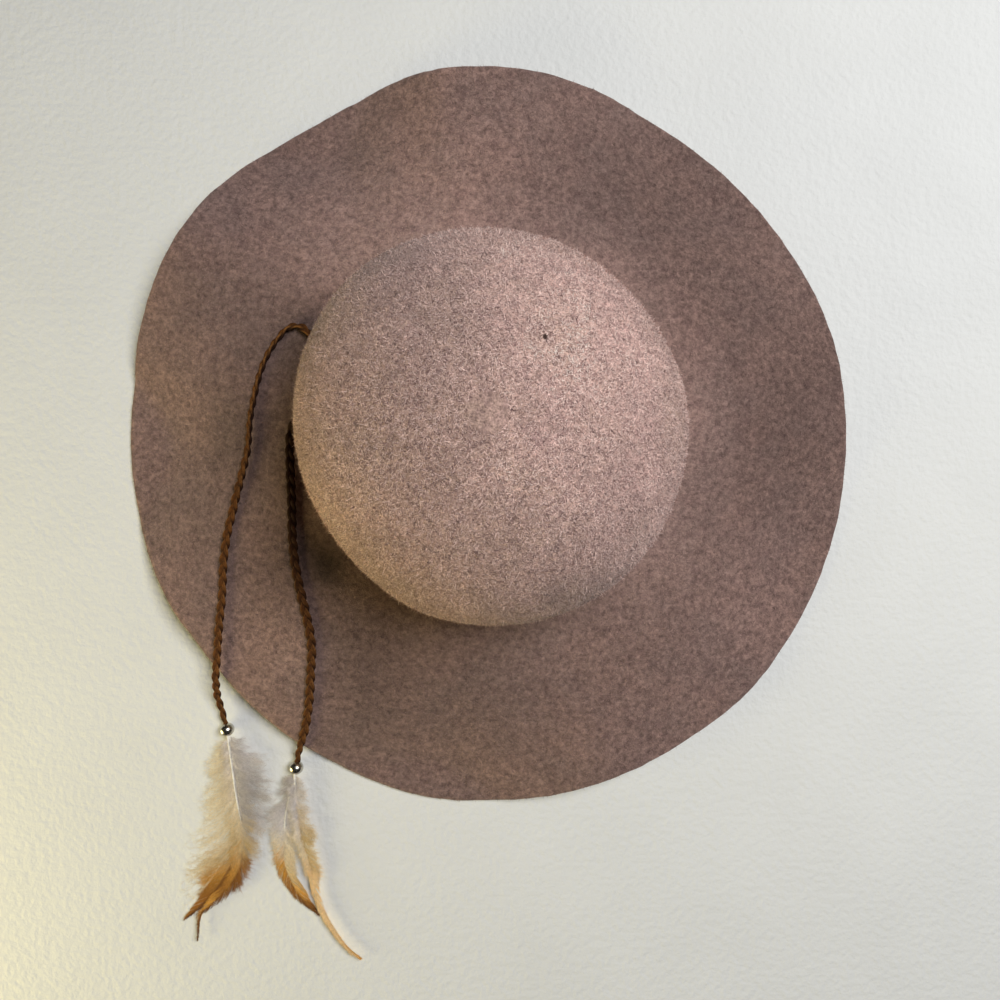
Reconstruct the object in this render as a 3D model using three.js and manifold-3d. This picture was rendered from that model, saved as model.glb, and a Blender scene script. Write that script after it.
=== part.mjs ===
import * as THREE from 'three';
import { mergeVertices } from 'three/addons/utils/BufferGeometryUtils.js';
import Module from 'manifold-3d';

// A floppy hat of soft wool felt: a round dome crown and a wide wavy brim, blocked from one piece.
// A plaited cord runs round the crown's foot and is knotted at one side, and its two ends lie over
// the brim as ties that end in silver beads and feathers.
// Millimetres and degrees, +Z up. The hat rests brim down on z = 0 with the origin under the middle
// of its felt. Angles run counterclockwise from +X, and the feathers lie towards -Y.

// Felt
const FELT_THICKNESS = 2.2;
const SEGMENTS = 60;
const CROWN_CENTRE = new THREE.Vector2(2.7, 0.5);
const CROWN_TOP = 138;
const CROWN_WIDEST = { radius: 94, height: 60 };
const CROWN_FOOT = { radius: 92.2, height: 36 };
const CROWN_FILLET = 9;
const DOME_EXPONENT = 2.2;
const DOME_STEPS = 9;
const WALL_STEPS = 2;
const FILLET_STEPS = 3;
const BRIM_CENTRE = new THREE.Vector2(1.7, 3.9);
const BRIM_DROOP = 1.25;
const BRIM_STATIONS = [0.17, 0.34, 0.51, 0.67, 0.82, 1];

// Plaited cord and what hangs on it
const CORD_WIDTH = 5.2;
const CORD_DEPTH = 3.2;
const TIE_DIAMETER = 4.2;
const CORD_SIDES = 8;
const TIE_STEP = 10;
const SEAT_GAP = 0.4;
const JOIN_GAP = 0.3;
const BAND_HEIGHT = 39.5;
const BAND_STEPS = 56;
const KNOT = { at: 167, radius: 4.6, halfLength: 5.5, sides: 12 };
const BEAD = { radius: 4, halfLength: 3.7, sides: 12, steps: 6 };
const VANE_THICKNESS = 0.9;
const LOCK_OVERLAP = 1.7;
const SHINGLE = 0.12;
const SWEEP = { root: 58, tip: 24 };
const RACHIS = { radius: 0.85, tipRadius: 0.35, sides: 6, steps: 8 };

// One row for each fold of the brim: its direction, how far the edge reaches from the brim's centre,
// how high the edge's upper face stands over a felt that lies flat, where less than zero is pressed
// flat on the surface, and how far the felt bellies up between the foot and the edge.
const FOLDS = [
  { at: 0, reach: 198.4, lift: 9, belly: 0 },
  { at: 22, reach: 199.3, lift: 4, belly: 2 },
  { at: 50, reach: 198, lift: -10, belly: 2 },
  { at: 74, reach: 199.9, lift: 9, belly: 0 },
  { at: 97, reach: 198.3, lift: 20, belly: -2 },
  { at: 108, reach: 202.8, lift: 5, belly: 0 },
  { at: 119, reach: 201.8, lift: -10, belly: 3 },
  { at: 132, reach: 203.4, lift: 5, belly: 0 },
  { at: 147, reach: 199.2, lift: 22, belly: -3 },
  { at: 166, reach: 203, lift: 8, belly: 0 },
  { at: 182, reach: 204.4, lift: -12, belly: 2 },
  { at: 196, reach: 204.3, lift: 2, belly: 0 },
  { at: 207, reach: 202.2, lift: 10, belly: -2 },
  { at: 218, reach: 200.8, lift: 9, belly: -1 },
  { at: 236, reach: 204.5, lift: 5, belly: 0 },
  { at: 250, reach: 207.6, lift: -4, belly: 1 },
  { at: 261, reach: 209.4, lift: -9, belly: 2 },
  { at: 274, reach: 207, lift: 3, belly: 0 },
  { at: 288, reach: 202.4, lift: 14, belly: -2 },
  { at: 302, reach: 203.2, lift: 9, belly: 0 },
  { at: 318, reach: 205.5, lift: 4, belly: 0 },
  { at: 341, reach: 203.6, lift: -9, belly: 2 },
  { at: 351, reach: 202.4, lift: -1, belly: 1 },
];

// How far the crown's side stands out of a true circle, by direction.
const SWAY = [
  { at: 0, out: 0 },
  { at: 40, out: -2 },
  { at: 90, out: 0 },
  { at: 135, out: 3 },
  { at: 175, out: 0 },
  { at: 215, out: -3 },
  { at: 255, out: 0 },
  { at: 310, out: 1 },
];

// Each tie's middle line, from the knot over the brim and its edge down to the bead.
const TIES = {
  left: [
    [-93.5, 28.7, 37.0], [-94.1, 35.7, 33.0], [-94.4, 43.1, 30.2], [-93.1, 49.0, 29.5],
    [-94.8, 55.0, 29.0], [-99.8, 59.2, 28.2], [-105.9, 59.0, 27.5], [-112.7, 52.4, 27.0],
    [-117.6, 44.9, 26.7], [-121.7, 35.4, 26.4], [-124.6, 24.5, 26.2], [-127.5, 10.1, 25.8],
    [-129.0, -5.9, 25.1], [-132.8, -20.2, 23.8], [-137.3, -35.9, 22.1], [-141.8, -53.2, 20.8],
    [-144.1, -69.1, 20.0], [-145.0, -85.1, 19.2], [-147.1, -102.3, 18.0], [-148.9, -120.3, 16.4],
    [-150.3, -130.5, 14.7], [-151.3, -138.3, 11.2], [-151.7, -145.3, 7.6], [-150.4, -152.5, 4.7],
    [-148.5, -159.9, 4.1],
  ],
  right: [
    [-96.3, 16.4, 36.8], [-98.9, 12.4, 34.0], [-102.2, 7.4, 31.4], [-104.6, 1.8, 29.9],
    [-105.1, -10.8, 29.3], [-104.6, -28.4, 28.6], [-104.5, -41.0, 27.7], [-104.5, -52.9, 26.8],
    [-102.9, -71.2, 25.5], [-99.8, -87.0, 24.5], [-96.9, -100.3, 23.4], [-95.3, -113.6, 21.8],
    [-96.4, -128.9, 19.4], [-98.2, -145.7, 16.0], [-101.1, -160.0, 12.6], [-103.9, -169.1, 10.2],
    [-106.4, -176.3, 6.6], [-107.5, -181.4, 4.4],
  ],
};

// Each feather: the tie whose bead holds it, the height of its middle line at the bead and where it
// lies, that line seen from above, and the vane's reach to the east and west of it, +X being east.
const FEATHERS = {
  feather_left_broad: {
    tie: 'left',
    rootHeight: 3.0,
    restHeight: 1.3,
    locks: 10,
    spine: [[-141.9, -198.7], [-140.7, -221.4], [-145.3, -239.7], [-156.1, -257.3],
      [-173.2, -273.2]],
    vane: [
      { along: 0, west: 6, east: 5 },
      { along: 0.12, west: 14, east: 18 },
      { along: 0.3, west: 19, east: 15 },
      { along: 0.48, west: 27, east: 13 },
      { along: 0.65, west: 24, east: 10 },
      { along: 0.82, west: 12, east: 6 },
      { along: 1, west: 3, east: 2 },
    ],
  },
  feather_left_rust: {
    tie: 'left',
    rootHeight: 5.0,
    restHeight: 3.3,
    locks: 8,
    spine: [[-143.0, -198.7], [-139.0, -227.1], [-141.9, -245.3], [-154.9, -261.3],
      [-162.2, -268.4], [-164.6, -284.6]],
    vane: [
      { along: 0, west: 3, east: 4 },
      { along: 0.3, west: 8, east: 9 },
      { along: 0.6, west: 9, east: 7 },
      { along: 0.8, west: 6, east: 4 },
      { along: 1, west: 1.5, east: 1.5 },
    ],
  },
  feather_right_long: {
    tie: 'right',
    rootHeight: 5.0,
    restHeight: 3.3,
    locks: 9,
    spine: [[-108.3, -210.1], [-105.4, -227.1], [-101.5, -240.2], [-96.3, -258.4],
      [-90.1, -274.9], [-81.0, -286.9], [-71.9, -294.8]],
    vane: [
      { along: 0, west: 3, east: 4 },
      { along: 0.15, west: 8, east: 10 },
      { along: 0.35, west: 7, east: 10 },
      { along: 0.52, west: 5, east: 6 },
      { along: 0.68, west: 3, east: 3 },
      { along: 0.88, west: 2.4, east: 2.4 },
      { along: 1, west: 1, east: 1 },
    ],
  },
  feather_right_rust: {
    tie: 'right',
    rootHeight: 3.0,
    restHeight: 1.3,
    locks: 8,
    spine: [[-114.6, -211.2], [-116.3, -232.8], [-114.6, -244.2], [-107.7, -259.0],
      [-96.9, -269.8]],
    vane: [
      { along: 0, west: 3, east: 3 },
      { along: 0.25, west: 6.5, east: 6 },
      { along: 0.5, west: 6, east: 8 },
      { along: 0.75, west: 4, east: 6 },
      { along: 1, west: 1.5, east: 1.5 },
    ],
  },
};

const MATERIALS = {
  felt: new THREE.MeshStandardMaterial({ color: '#8f7a70', roughness: 0.95, metalness: 0 }),
  plait: new THREE.MeshStandardMaterial({ color: '#4b2d1a', roughness: 0.7, metalness: 0 }),
  silver: new THREE.MeshStandardMaterial({ color: '#c4bfb2', roughness: 0.12, metalness: 1 }),
  down: new THREE.MeshStandardMaterial({ color: '#c9b796', roughness: 0.9, metalness: 0 }),
  rust: new THREE.MeshStandardMaterial({ color: '#b0722c', roughness: 0.75, metalness: 0 }),
};

const wasm = await Module();
wasm.setup();

// A smooth value between the rows of a table that closes on itself after 360 degrees.
function around(rows, column, angle) {
  const count = rows.length;
  const turned = ((angle % 360) + 360) % 360;
  const start = rows.findLastIndex((row) => row.at <= turned);
  const place = (step) => {
    const index = start + step;
    return rows[((index % count) + count) % count].at + 360 * Math.floor(index / count);
  };
  const value = (step) => rows[(((start + step) % count) + count) % count][column];
  const slope = (step) => (value(step + 1) - value(step - 1)) / (place(step + 1) - place(step - 1));
  const span = place(1) - place(0);
  const u = (turned - place(0)) / span;
  return (2 * u ** 3 - 3 * u ** 2 + 1) * value(0) + (u ** 3 - 2 * u ** 2 + u) * span * slope(0)
    + (3 * u ** 2 - 2 * u ** 3) * value(1) + (u ** 3 - u ** 2) * span * slope(1);
}

// A straight-line value between the rows of a table that is read by how far along a line one is.
function along(rows, column, place) {
  const next = Math.max(1, rows.findIndex((row) => row.along >= place));
  const before = rows[next - 1];
  const after = rows[next];
  const u = (place - before.along) / (after.along - before.along);
  return THREE.MathUtils.lerp(before[column], after[column], u);
}

function direction(angle) {
  const radians = THREE.MathUtils.degToRad(angle);
  return new THREE.Vector2(Math.cos(radians), Math.sin(radians));
}

function fromCrown(angle, radius, height) {
  const spot = direction(angle).multiplyScalar(radius).add(CROWN_CENTRE);
  return new THREE.Vector3(spot.x, spot.y, height);
}

// A closed body through rings of points. It turns outwards when the rings run counterclockwise
// seen from where they start, and each end is closed by a fan round its own middle point.
function loft(rings, startPoint, endPoint) {
  const sides = rings[0].length;
  const points = [...rings.flat(), startPoint, endPoint];
  const start = points.length - 2;
  const end = points.length - 1;
  const last = (rings.length - 1) * sides;
  const index = [];
  for (let i = 0; i < sides; i += 1) {
    const next = (i + 1) % sides;
    index.push(start, i, next);
    index.push(end, last + next, last + i);
    for (let base = 0; base < last; base += sides) {
      index.push(base + i, base + sides + i, base + sides + next);
      index.push(base + i, base + sides + next, base + next);
    }
  }
  const geometry = new THREE.BufferGeometry().setFromPoints(points);
  geometry.setIndex(index);
  return geometry;
}

function middle(ring) {
  return ring.reduce((sum, point) => sum.add(point), new THREE.Vector3()).divideScalar(ring.length);
}

// The crown's side at one height, between its widest ring and its foot.
function wallRadius(angle, height) {
  const u = (CROWN_WIDEST.height - height) / (CROWN_WIDEST.height - CROWN_FOOT.height);
  const narrowing = (CROWN_FOOT.radius - CROWN_WIDEST.radius) * u ** 2;
  return CROWN_WIDEST.radius + around(SWAY, 'out', angle) * (1 - u / 2) + narrowing;
}

function domePoint(angle, step) {
  const turn = (Math.PI / 2) * (step / DOME_STEPS);
  const radius = (CROWN_WIDEST.radius + around(SWAY, 'out', angle)) * Math.sin(turn) ** (2 / DOME_EXPONENT);
  const rise = Math.max(0, Math.cos(turn)) ** (2 / DOME_EXPONENT);
  return fromCrown(angle, radius, THREE.MathUtils.lerp(CROWN_WIDEST.height, CROWN_TOP, rise));
}

function wallPoint(angle, step) {
  const height = THREE.MathUtils.lerp(CROWN_WIDEST.height, CROWN_FOOT.height, step / WALL_STEPS);
  return fromCrown(angle, wallRadius(angle, height), height);
}

function filletPoint(angle, step) {
  const turn = (Math.PI / 2) * (step / FILLET_STEPS);
  const radius = wallRadius(angle, CROWN_FOOT.height) + CROWN_FILLET * (1 - Math.cos(turn));
  return fromCrown(angle, radius, CROWN_FOOT.height - CROWN_FILLET * Math.sin(turn));
}

// The brim falls from the foot to its edge, and where a fold would pass below the surface it rests flat.
function brimPoint(angle, t) {
  const foot = filletPoint(angle, FILLET_STEPS);
  const edge = direction(angle).multiplyScalar(around(FOLDS, 'reach', angle)).add(BRIM_CENTRE);
  const spot = new THREE.Vector2(foot.x, foot.y).lerp(edge, t);
  const footRise = foot.z - FELT_THICKNESS;
  const fall = (around(FOLDS, 'lift', angle) - footRise) * t ** BRIM_DROOP;
  const belly = around(FOLDS, 'belly', angle) * Math.sin(Math.PI * t);
  return new THREE.Vector3(spot.x, spot.y, FELT_THICKNESS + Math.max(0, footRise + fall + belly));
}

// The felt's outer face as one section from the dome's top to the brim's edge.
function feltSection(angle) {
  const steps = (count) => Array.from({ length: count }, (_, i) => i + 1);
  return [
    ...steps(DOME_STEPS).map((step) => domePoint(angle, step)),
    ...steps(WALL_STEPS).map((step) => wallPoint(angle, step)),
    ...steps(FILLET_STEPS).map((step) => filletPoint(angle, step)),
    ...BRIM_STATIONS.map((t) => brimPoint(angle, t)),
  ];
}

// One skin of felt: the outer face, and an inner face one thickness behind it all over. Where the
// brim is pressed flat, its underside lies on the surface.
function feltBody() {
  const angles = Array.from({ length: SEGMENTS }, (_, i) => (360 * i) / SEGMENTS);
  const sections = angles.map(feltSection);
  const outer = sections[0].map((_, ring) => sections.map((section) => section[ring]));
  const top = fromCrown(0, 0, CROWN_TOP);
  const inner = outer.map((ring, r) => ring.map((point, i) => {
    const round = ring[(i + 1) % SEGMENTS].clone().sub(ring[(i + SEGMENTS - 1) % SEGMENTS]);
    const above = r > 0 ? outer[r - 1][i] : top;
    const below = outer[Math.min(r + 1, outer.length - 1)][i];
    const normal = below.clone().sub(above).cross(round).normalize();
    if (point.z === FELT_THICKNESS) {
      normal.set(0, 0, 1);
    }
    return point.clone().addScaledVector(normal, -FELT_THICKNESS);
  }));
  const innerTop = fromCrown(0, 0, CROWN_TOP - FELT_THICKNESS);
  return loft([...outer, ...inner.reverse()], top, innerTop);
}

// The plaited band stands on edge against the crown's side and stops at each end of the knot.
function band() {
  const radius = wallRadius(KNOT.at, BAND_HEIGHT) + SEAT_GAP + CORD_DEPTH / 2;
  const half = THREE.MathUtils.radToDeg((KNOT.halfLength + JOIN_GAP) / radius);
  const rings = Array.from({ length: BAND_STEPS + 1 }, (_, i) => {
    const angle = KNOT.at + half + (360 - 2 * half) * (i / BAND_STEPS);
    const centre = wallRadius(angle, BAND_HEIGHT) + SEAT_GAP + CORD_DEPTH / 2;
    return Array.from({ length: CORD_SIDES }, (__, side) => {
      const turn = (2 * Math.PI * side) / CORD_SIDES;
      const out = centre + (CORD_DEPTH / 2) * Math.cos(turn);
      return fromCrown(angle, out, BAND_HEIGHT + (CORD_WIDTH / 2) * Math.sin(turn));
    });
  });
  return loft(rings, middle(rings[0]), middle(rings.at(-1)));
}

// A solid turned from a profile of radius and height, laid with its axis along a direction.
function turned(profile, sides, centre, axis) {
  const points = profile.map(([radius, height]) => new THREE.Vector2(radius, height));
  const geometry = new THREE.LatheGeometry(points, sides);
  const turn = new THREE.Quaternion().setFromUnitVectors(new THREE.Vector3(0, 1, 0), axis);
  return geometry.applyQuaternion(turn).translate(centre.x, centre.y, centre.z);
}

function knot() {
  const { radius, halfLength, sides } = KNOT;
  const profile = [[0, -halfLength], [radius * 0.78, -halfLength], [radius * 0.94, -halfLength * 0.7],
    [radius, 0], [radius * 0.94, halfLength * 0.7], [radius * 0.78, halfLength], [0, halfLength]];
  const centre = fromCrown(KNOT.at, wallRadius(KNOT.at, BAND_HEIGHT) + SEAT_GAP + radius, BAND_HEIGHT);
  const across = direction(KNOT.at + 90);
  return turned(profile, sides, centre, new THREE.Vector3(across.x, across.y, 0));
}

function tieCurve(side) {
  return new THREE.CatmullRomCurve3(TIES[side].map((point) => new THREE.Vector3(...point)));
}

function tie(side) {
  const curve = tieCurve(side);
  const section = new THREE.Shape(Array.from({ length: CORD_SIDES }, (_, i) => (
    direction((360 * i) / CORD_SIDES).multiplyScalar(TIE_DIAMETER / 2)
  )));
  const steps = Math.round(curve.getLength() / TIE_STEP);
  return new THREE.ExtrudeGeometry(section, { steps, bevelEnabled: false, extrudePath: curve });
}

// Where a tie's bead sits and which way its hole points: level with the surface, straight on from the tie.
function beadPlace(side) {
  const axis = tieCurve(side).getTangent(1).setZ(0).normalize();
  const end = new THREE.Vector3(...TIES[side].at(-1));
  const centre = end.addScaledVector(axis, JOIN_GAP + BEAD.halfLength);
  return { axis, centre: centre.setZ(BEAD.radius + 0.1) };
}

function bead(side) {
  const { axis, centre } = beadPlace(side);
  const profile = Array.from({ length: BEAD.steps + 1 }, (_, i) => {
    const turn = Math.PI * (i / BEAD.steps);
    return [BEAD.radius * Math.sin(turn), -BEAD.halfLength * Math.cos(turn)];
  });
  profile[0][0] = 0;
  profile.at(-1)[0] = 0;
  return turned(profile, BEAD.sides, centre, axis);
}

function toManifold(geometry) {
  const bare = geometry.clone();
  bare.deleteAttribute('normal');
  bare.deleteAttribute('uv');
  const merged = mergeVertices(bare);
  return new wasm.Manifold(new wasm.Mesh({
    numProp: 3,
    vertProperties: new Float32Array(merged.attributes.position.array),
    triVerts: new Uint32Array(merged.index.array),
  }));
}

function toGeometry(solid) {
  const mesh = solid.getMesh();
  const geometry = new THREE.BufferGeometry();
  geometry.setAttribute('position', new THREE.BufferAttribute(mesh.vertProperties, 3));
  geometry.setIndex(new THREE.BufferAttribute(mesh.triVerts, 1));
  return geometry;
}

// The quill, thick at the bead and thin at the feather's tip.
function rachis(curve) {
  const rings = Array.from({ length: RACHIS.steps + 1 }, (_, i) => {
    const t = i / RACHIS.steps;
    const centre = curve.getPoint(t);
    const tangent = curve.getTangent(t);
    const across = new THREE.Vector3(-tangent.y, tangent.x, 0).normalize();
    const up = tangent.clone().cross(across);
    const radius = THREE.MathUtils.lerp(RACHIS.radius, RACHIS.tipRadius, t);
    return Array.from({ length: RACHIS.sides }, (__, side) => {
      const turn = (-2 * Math.PI * side) / RACHIS.sides;
      return centre.clone()
        .addScaledVector(across, radius * Math.cos(turn))
        .addScaledVector(up, radius * Math.sin(turn));
    });
  });
  return loft(rings, middle(rings[0]), middle(rings.at(-1)));
}

// One lock of barbs: a thin leaf from the quill outwards and towards the tip, ending in a point.
function lock(root, tangent, outward, reach, sweep, width) {
  const ahead = tangent.clone().setZ(0).normalize();
  const stations = [{ out: -0.03, wide: 1 }, { out: 0.45, wide: 1 }, { out: 0.8, wide: 0.6 }];
  const spotAt = (out) => root.clone()
    .addScaledVector(outward, reach * out)
    .addScaledVector(ahead, (reach / Math.tan(sweep)) * out ** 1.5 * Math.sign(out + 1));
  const rings = stations.map(({ out, wide }) => {
    const centre = spotAt(Math.max(0, out)).addScaledVector(outward, Math.min(0, out) * reach);
    const half = (width * wide) / 2;
    const corners = [[-half, -1], [half, -1], [half, 1], [-half, 1]];
    return corners.map(([forward, up]) => centre.clone()
      .addScaledVector(ahead, forward)
      .add(new THREE.Vector3(0, 0, (up * VANE_THICKNESS) / 2)));
  });
  const ordered = outward.clone().cross(ahead).z > 0 ? rings.map((ring) => ring.reverse()) : rings;
  return loft(ordered, middle(ordered[0]), spotAt(1));
}

function feather({ tie: side, rootHeight, restHeight, locks, spine, vane }) {
  const { axis, centre } = beadPlace(side);
  const root = centre.addScaledVector(axis, BEAD.halfLength + JOIN_GAP).setZ(rootHeight);
  const rest = spine.map(([x, y]) => new THREE.Vector3(x, y, restHeight));
  const curve = new THREE.CatmullRomCurve3([root, ...rest]);
  const length = curve.getLength();
  const pieces = [rachis(curve)];
  for (let i = 0; i < locks; i += 1) {
    const place = (i + 0.4) / locks;
    const foot = curve.getPointAt(place);
    const tangent = curve.getTangentAt(place);
    const eastward = new THREE.Vector3(-tangent.y, tangent.x, 0).normalize();
    const sweep = THREE.MathUtils.degToRad(THREE.MathUtils.lerp(SWEEP.root, SWEEP.tip, place));
    const width = length * Math.min(LOCK_OVERLAP / locks, 1.8 * place);
    foot.z += (i % 2) * SHINGLE;
    for (const [column, outward] of [['east', eastward], ['west', eastward.clone().negate()]]) {
      pieces.push(lock(foot, tangent, outward, along(vane, column, place), sweep, width));
    }
  }
  return toGeometry(pieces.map(toManifold).reduce((whole, piece) => whole.add(piece)));
}

const hat = new THREE.Group();

function add(name, geometry, material) {
  const mesh = new THREE.Mesh(geometry, material);
  mesh.name = name;
  hat.add(mesh);
}

add('hat_body', feltBody(), MATERIALS.felt);
add('hat_band', band(), MATERIALS.plait);
add('knot', knot(), MATERIALS.plait);
for (const side of Object.keys(TIES)) {
  add(`tie_${side}`, tie(side), MATERIALS.plait);
  add(`bead_${side}`, bead(side), MATERIALS.silver);
}
for (const [name, shape] of Object.entries(FEATHERS)) {
  add(name, feather(shape), name.endsWith('broad') ? MATERIALS.down : MATERIALS.rust);
}

export default hat;
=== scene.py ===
import math

import bpy
import numpy as np
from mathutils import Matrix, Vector


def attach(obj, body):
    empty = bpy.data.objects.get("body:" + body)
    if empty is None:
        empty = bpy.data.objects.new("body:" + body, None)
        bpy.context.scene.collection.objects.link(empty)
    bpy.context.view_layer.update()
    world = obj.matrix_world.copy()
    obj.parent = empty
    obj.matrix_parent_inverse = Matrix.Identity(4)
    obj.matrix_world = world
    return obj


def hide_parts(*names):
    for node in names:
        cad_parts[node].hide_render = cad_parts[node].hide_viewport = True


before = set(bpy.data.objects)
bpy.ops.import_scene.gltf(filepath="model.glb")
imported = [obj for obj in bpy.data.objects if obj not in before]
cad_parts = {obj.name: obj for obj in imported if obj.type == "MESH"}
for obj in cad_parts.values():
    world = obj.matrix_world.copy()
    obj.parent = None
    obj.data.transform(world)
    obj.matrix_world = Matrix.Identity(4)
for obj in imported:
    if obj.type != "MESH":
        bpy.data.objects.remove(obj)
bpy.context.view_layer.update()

# A floppy hat of pinkish grey-brown wool felt, resting brim down, with a plaited suede band whose
# ends lie over the brim and end in silver beads and feathers. Shapes are worked out in millimetres,
# and the meshes are in metres.
MM = 0.001
UP = np.array([0, 0, 1.0])

# Felt
FELT_THICKNESS = 2.2
CROWN_CENTRE = np.array([2.7, 0.5])
CROWN_TOP = 138.0
CROWN_RADIUS = 94.0
WIDEST_HEIGHT = 60.0
CROWN_FOOT_RADIUS = 92.2
CROWN_FOOT_HEIGHT = 36.0
CROWN_FILLET = 9.0
DOME_EXPONENT = 2.2
BRIM_CENTRE = np.array([1.7, 3.9])
BRIM_DROOP = 1.25
PRESS_SOFTNESS = 2.5
FELT_SEGMENTS = 330
DOME_RINGS = 44
WALL_RINGS = 8
FILLET_RINGS = 10
BRIM_RINGS = 44
EDGE_ROUNDING = 0.55
EDGE_UNEVENNESS = 0.35
EDGE_UNEVEN_SIZE = 5.0
LUMP_HEIGHT = 0.35
LUMP_SIZE = 26.0
FINE_LUMP_HEIGHT = 0.12
FINE_LUMP_SIZE = 6.5
PRESSED_HEIGHT = 0.6
PRESSED_BLEND = 3.0
FLOOR_GAP = 0.02

# Rings of the felt's raw edge: how deep in the felt each lies and how far it stands out, as shares.
EDGE_RINGS = ((0.18, 0.7), (0.5, 1.0), (0.82, 0.7))

# The crown's paler, pinker colour and sharper grain set in at this height, and a share of it reaches out
# over the brim.
CROWN_TONE_HEIGHT = 24.0
CROWN_TONE_BLEND = 20.0
CROWN_TONE_REACH = 45.0
CROWN_TONE_SHARE = 0.28

# Plait, knot and beads
STRANDS = 3
STRAND_WIDTH = 2.2
STRAND_DEPTH = 1.7
STRAND_SIDES = 12
STRAND_SQUARENESS = 0.75
STRAND_LEAN = 0.35
STRAND_UNEVENNESS = 0.08
PLAIT_SWING = 1.4
PLAIT_LIFT = 0.75
PLAIT_PERIOD = 20.0
PLAIT_SETTLE = 0.9
TIE_SCALE = {"left": 0.9, "right": 1.0}
TIE_SPACING = 0.6
TIE_TAPER = 0.34
TIE_TAPER_LENGTH = 20.0
TIE_IN_BEAD = 1.6
SEAT_GAP = 0.4
BAND_HEIGHT = 39.5
BAND_DEPTH = 3.2
BAND_POINTS = 72
BAND_SPACING = 0.9
KNOT_AT = 167.0
KNOT_HALF_LENGTH = 5.5
KNOT_RADIUS = 4.6
KNOT_TURNS = 2.25
KNOT_PLAIT_DEPTH = 1.6
KNOT_PLAIT_INSET = 2.4
KNOT_LEAD = 0.35
BEAD_RADIUS = 4.0
BEAD_HALF_LENGTH = 3.7
BEAD_BORE = 1.35
BEAD_SIDES = 64
BEAD_RINGS = 40
BORE_RINGS = 8
BORE_NARROWING = 0.93
BEAD_LIP = 0.18
JOIN_GAP = 0.3

# Each fold of the brim: its direction, how far the edge reaches from the brim's centre,
# how high the edge stands, where less than zero is pressed flat, and how far the felt bellies up.
FOLD_COLUMNS = ("at", "reach", "lift", "belly")
FOLDS = [
    (0, 198.4, 9, 0), (22, 199.3, 4, 2), (50, 198, -10, 2), (74, 199.9, 9, 0),
    (97, 198.3, 20, -2), (108, 202.8, 5, 0), (119, 201.8, -10, 3), (132, 203.4, 5, 0),
    (147, 199.2, 22, -3), (166, 203, 8, 0), (182, 204.4, -12, 2), (196, 204.3, 2, 0),
    (207, 202.2, 10, -2), (218, 200.8, 9, -1), (236, 204.5, 5, 0), (250, 207.6, -4, 1),
    (261, 209.4, -9, 2), (274, 207, 3, 0), (288, 202.4, 14, -2), (302, 203.2, 9, 0),
    (318, 205.5, 4, 0), (341, 203.6, -9, 2), (351, 202.4, -1, 1),
]

# How far the crown's side stands out of a true circle, by direction.
SWAY_COLUMNS = ("at", "out")
SWAY = [(0, 0), (40, -2), (90, 0), (135, 3), (175, 0), (215, -3), (255, 0), (310, 1)]

# Each tie's middle line, from the knot over the brim and its edge down to the bead.
TIES = {
    "left": [
        (-93.5, 28.7, 37), (-94.1, 35.7, 33), (-94.4, 43.1, 30.2), (-93.1, 49, 29.5),
        (-94.8, 55, 29), (-99.8, 59.2, 28.2), (-105.9, 59, 27.5), (-112.7, 52.4, 27),
        (-117.6, 44.9, 26.7), (-121.7, 35.4, 26.4), (-124.6, 24.5, 26.2), (-127.5, 10.1, 25.8),
        (-129, -5.9, 25.1), (-132.8, -20.2, 23.8), (-137.3, -35.9, 22.1), (-141.8, -53.2, 20.8),
        (-144.1, -69.1, 20), (-145, -85.1, 19.2), (-147.1, -102.3, 18), (-148.9, -120.3, 16.4),
        (-150.3, -130.5, 14.7), (-151.3, -138.3, 11.2), (-151.7, -145.3, 7.6), (-150.4, -152.5, 4.7),
        (-148.5, -159.9, 4.1),
    ],
    "right": [
        (-96.3, 16.4, 36.8), (-98.9, 12.4, 34), (-102.2, 7.4, 31.4), (-104.6, 1.8, 29.9),
        (-105.1, -10.8, 29.3), (-104.6, -28.4, 28.6), (-104.5, -41, 27.7), (-104.5, -52.9, 26.8),
        (-102.9, -71.2, 25.5), (-99.8, -87, 24.5), (-96.9, -100.3, 23.4), (-95.3, -113.6, 21.8),
        (-96.4, -128.9, 19.4), (-98.2, -145.7, 16), (-101.1, -160, 12.6), (-103.9, -169.1, 10.2),
        (-106.4, -176.3, 6.6), (-107.5, -181.4, 4.4),
    ],
}
# The left tie leans on its edge where it bends back and lies flat again further down: how far it
# has turned, in degrees, at each distance from the knot.
TWIST_COLUMNS = ("run", "turned")
LEFT_TWIST = [(0, 0), (24, 0), (44, 58), (108, 58), (150, 0), (300, 0)]

# How worn and pale the suede of each tie is, at each distance from the knot. Low values near the knot,
# darkest on the right tie's first stretch beside the crown, are painted shadow of the crown.
WEAR_AND_SHADE_COLUMNS = ("run", "worn")
TIE_WEAR_AND_SHADE = {"left": [(0, 0.7), (40, 1)], "right": [(0, 0), (66, 0.05), (120, 0.7), (190, 0.9)]}
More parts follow.
